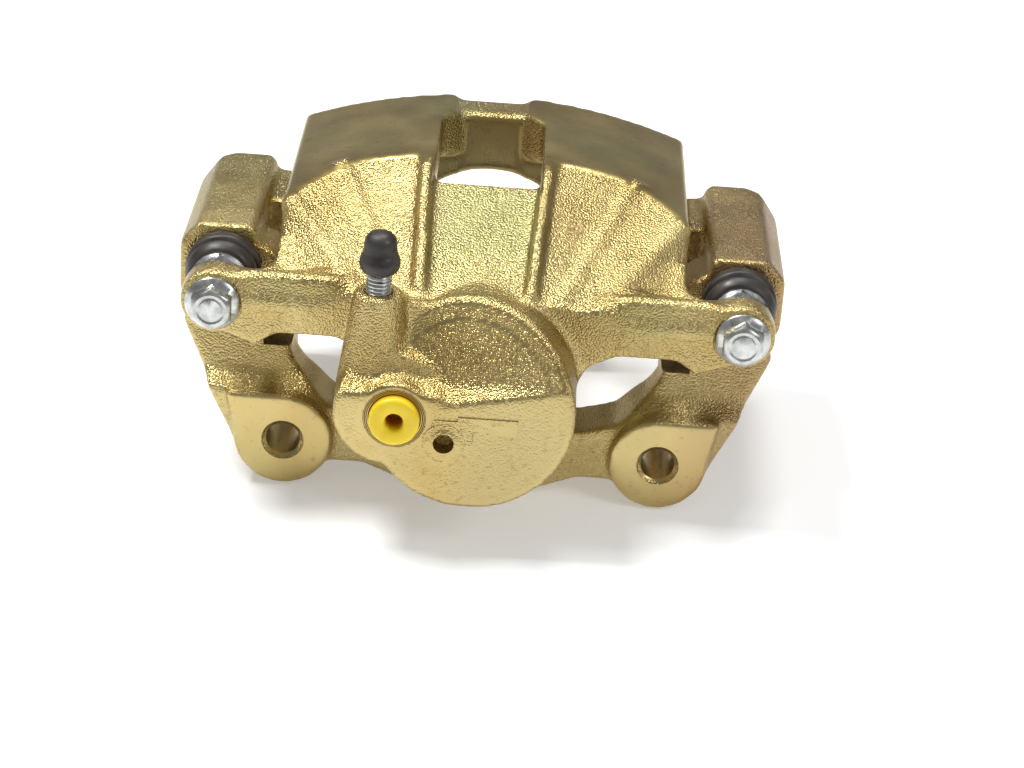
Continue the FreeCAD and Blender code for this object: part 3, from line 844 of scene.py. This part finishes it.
for word in ("left", "right"):
    clip = softenEdges(copyNode("pad_clip_" + word, "clip"), clipSizes["edge"], 2)
    finishPiece(clip, "padClip" + word.title(), sheetMetal, "bracket", "pad_clip_" + word, 40)
print("pad clips")


# Castings

casting = {"voxel": 1.0, "smoothTurns": 15}


def castingCopy(node, name, plugs, shaves=()):
    # The drilled holes are filled first, as in a casting before it is machined
    piece = combine(copyNode(node, name), shaves)
    piece = joinAll([piece] + plugs)
    applyModifier(piece, "REMESH", mode="VOXEL", voxel_size=casting["voxel"] * mm)
    applyModifier(piece, "SMOOTH", factor=0.5, iterations=casting["smoothTurns"])
    return piece


def markMachined(piece, zones):
    # 1 where a zone says that the surface is machined, 0 where it is as cast
    mesh = piece.data
    layer = mesh.attributes.new("machined", "FLOAT", "POINT")
    values = [max(zone(vertex.co * 1000, vertex.normal) for zone in zones) for vertex in mesh.vertices]
    layer.data.foreach_set("value", values)


def nearAxis(x, z, radius, slack=0.3):
    # Zone on a wall of that radius about a line along Y
    return lambda place, normal: float(abs(math.hypot(place.x - x, place.z - z) - radius) < slack)


def facing(x, z, radius, y, slack=0.6):
    # Zone on a flat face towards -Y, within that radius
    return lambda place, normal: float(
        normal.y < -0.8 and abs(place.y - y) < slack and math.hypot(place.x - x, place.z - z) < radius)


housingSizes = {
    "boreDepth": 33.5, "bootSeat": 29.8, "bootSeatDepth": 8.0, "locating": (-7.6, 20.0), "locatingRadius": 3.15,
    "rotorZ": -95.0, "portRings": (9.5, 8.0), "ringDepth": 0.5, "boltClear": 4.3, "boltSeat": 9.1,
    "padHeight": 0.6,
}


def portCutter(center, front):
    # Bore of the hose port with turned rings round its mouth
    size = housingSizes
    outer, inner = size["portRings"]
    points = [(front - 8, 0), (front - 8, outer), (front - 0.3, outer)]
    rings = 3
    for index in range(rings):
        radius = outer - (outer - inner) * (index + 0.5) / rings
        points += [(front + size["ringDepth"], radius + 0.2), (front - 0.15, radius)]
    points += [(front + size["ringDepth"], inner - 0.3), (front + size["ringDepth"], 5.4),
               (front + 1.5, 4.75), (front + 14, 4.75), (front + 14, 0)]
    return turned("port", points, (center.x, 0, center.z), steps=96)


earRidges = [
    # start and end from the guide bolt (inward, back, up), with the radius at each
    ((8, 3, 6.0), (44, 10, 7.0), 3.6, 3.2),
    ((33, 2.8, 7.8), (50, 6, 6.0), 2.9, 2.0),
    ((4, 2.5, 1.5), (34, 1.4, 0.6), 4.6, 2.9),
    ((30, 1.6, 0.6), (48, 4.0, -2.0), 2.9, 2.4),
]


def ridges(side, pin, earFront):
    # Flowing ridges that carry an ear into the slopes behind it
    bars = []
    for start, end, startRadius, endRadius in earRidges:
        first, last = [(pin.x - side * inward, earFront + back, pin.z + up) for inward, back, up in (start, end)]
        bars.append(barPiece("ridge", first, last, startRadius, endRadius))
    return bars


creases = [
    # upper and lower end of a soft crease down the slopes, right-hand half
    ((46.8, 47, 74.6), (24, -9, 53.8)),
    ((61.5, 30, 68.6), (36, -9, 53.4)),
]
creaseRadius = 3.9


def slopeRidges():
    bars = []
    for upper, lower in creases:
        for side in (-1, 1):
            bars.append(barPiece("crease", (side * upper[0], *upper[1:]), (side * lower[0], *lower[1:]),
                                 creaseRadius, creaseRadius))
    return bars


def locatingPad(front):
    # Low cast pad round the locating hole, with a tail to the right
    x, z = housingSizes["locating"]
    pad = cylinderPiece("pad", (x, front + 0.3, z), (0, 1, 0), 6.3, 1.7)
    neck = boxPiece("neck", (x - 3, front - 0.45, z), (x + 8.5, front + 1.1, z + 7.4))
    tail = boxPiece("tail", (x + 4, front - 0.4, z + 3.8), (x + 22, front + 1.05, z + 8.8))
    combine(pad, [neck, tail], "UNION")
    return softenEdges(pad, 0.2, 2)


def makeHousing():
    size = housingSizes
    low, high = span("caliper_housing")
    front = low.y + size["padHeight"]
    pistonZ = middle("piston").z
    port = middle("inlet_plug")
    bleed = middle("bleed_screw")
    mouth = span("piston")[1].y - 4.5
    base = span("piston")[0].y - 1.0
    bore = span("piston")[1].x + 0.05
    locateX, locateZ = size["locating"]
    plugs = [
        cylinderPiece("plug", (0, (base - 1 + mouth - 0.5) / 2, pistonZ), (0, 1, 0), 30.5, mouth - base + 0.5),
        cylinderPiece("plug", (port.x, front + 12.2, port.z), (0, 1, 0), 9.8, 24),
        cylinderPiece("plug", (locateX, front + 5, locateZ), (0, 1, 0), 4.5, 12),
        cylinderPiece("plug", (bleed.x, bleed.y, 50), (0, 0, 1), 5.2, 22),
    ]
    for word in ("left", "right"):
        pin = middle("guide_bolt_" + word)
        plugs.append(cylinderPiece("plug", (pin.x, -5, pin.z), (0, 1, 0), 6, 9.8))
        plugs += ridges(math.copysign(1, pin.x), pin, -10)
    plugs += slopeRidges()
    shave = boxPiece("shave", (locateX - 30, front - 4, locateZ - 25), (locateX + 45, front, locateZ + 20))
    piece = castingCopy("caliper_housing", "castHousing", plugs, [shave])
    combine(piece, [locatingPad(front)], "UNION")
    cutters = [
        turned("bore", [(base, 0), (base, bore), (mouth - size["bootSeatDepth"], bore),
                        (mouth - size["bootSeatDepth"], size["bootSeat"]), (mouth - 0.6, size["bootSeat"]),
                        (mouth + 0.3, size["bootSeat"] + 0.7), (mouth + 2, size["bootSeat"] + 0.7), (mouth + 2, 0)],
               (0, 0, pistonZ), steps=128),
        portCutter(port, front),
        turned("locating", [(front - 4, 0), (front - 4, size["locatingRadius"]), (front + 5, size["locatingRadius"]),
                            (front + 6.4, 0)], (locateX, 0, locateZ)),
        turned("bleedHole", [(44, 0), (44, 3.95), (60.6, 3.95), (61.3, 4.7), (70, 4.7), (70, 0)],
               (bleed.x, bleed.y, 0), (0, 0, 1)),
    ]
    for word in ("left", "right"):
        pin = middle("guide_bolt_" + word)
        cutters.append(cylinderPiece("boltHole", (pin.x, -5, pin.z), (0, 1, 0), size["boltClear"], 20))
        cutters.append(cylinderPiece("boltSeat", (pin.x, -14, pin.z), (0, 1, 0), size["boltSeat"], 8.04))
    combine(piece, cutters)
    roof = high.z - size["rotorZ"]
    markMachined(piece, [
        nearAxis(0, size["rotorZ"], roof, 0.6), nearAxis(0, pistonZ, bore), nearAxis(0, pistonZ, size["bootSeat"]),
        facing(port.x, port.z, 11.2, front + 0.4, 0.9),
        lambda place, normal: float(normal.y > 0.9 and abs(place.y) < 0.6),
        lambda place, normal: 0.6 if normal.y < -0.9 and place.y < front + 1 else 0.0,
        lambda place, normal: float(normal.y < -0.9 and 80 < place.y < 90),
    ])
    finishPiece(piece, "caliperCasting", castHousing, "caliper", "caliper_housing", 40)


bracketSizes = {"thread": 5.3, "mouth": 6.7, "plateBack": 24.0, "pinBore": 5.55, "bootSeat": 9.0, "seatDepth": 4.0}


def makeBracket():
    size = bracketSizes
    seat = size["bootSeat"]
    low, high = span("bracket")
    clipLow, clipHigh = span("pad_clip_right")
    mount = [place for place in frame["record"]["mounts"] if place["name"] == "knuckle_bolts"][0]
    half = mount["dims"]["spacing_x_mm"] / 2
    plugs = []
    cutters = []
    zones = [lambda place, normal: float(
        clipLow.z - 0.3 < place.z < clipHigh.z + 0.3 and clipLow.x < abs(place.x) < clipHigh.x + 0.4)]
    for side, word in ((-1, "left"), (1, "right")):
        x = side * half
        pin = middle("guide_bolt_" + word)
        face = span("pin_boot_" + word)[1].y - 3.6
        pinEnd = span("guide_pin_" + word)[1].y
        plugs.append(cylinderPiece("plug", (x, size["plateBack"] / 2, 0), (0, 1, 0), 7.5, size["plateBack"]))
        plugs.append(cylinderPiece("plug", (pin.x, (face + pinEnd + 5) / 2, pin.z), (0, 1, 0), 7, pinEnd + 5 - face))
        plugs.append(cylinderPiece("plug", (pin.x, face + 3, pin.z), (0, 1, 0), 10, 6))
        cutters.append(turned("mountHole", [
            (-2, 0), (-2, size["mouth"] + 2), (0, size["mouth"]), (1.3, size["thread"]),
            (size["plateBack"] + 3, size["thread"]), (size["plateBack"] + 3, 0)], (x, 0, 0)))
        cutters.append(turned("pinBore", [
            (face - 8, 0), (face - 8, seat + 0.6), (face, seat + 0.6), (face + 0.4, seat),
            (face + size["seatDepth"], seat), (face + size["seatDepth"], size["pinBore"]),
            (pinEnd + 3, size["pinBore"]), (pinEnd + 3, 0)], (pin.x, 0, pin.z)))
        inner, outer = sorted((side * (clipLow.x - 6), side * (clipHigh.x + 0.02)))
        cutters.append(boxPiece("slot", (inner, low.y + 2, clipLow.z - 0.02), (outer, high.y + 4, clipHigh.z + 0.02)))
        zones += [nearAxis(x, 0, size["thread"]), facing(x, 0, 22, 0)]
    piece = castingCopy("bracket", "castBracket", plugs)
    combine(piece, cutters)
    markMachined(piece, zones)
    finishPiece(piece, "bracketCasting", castBracket, "bracket", "bracket", 40)


makeHousing()
makeBracket()
print("castings")
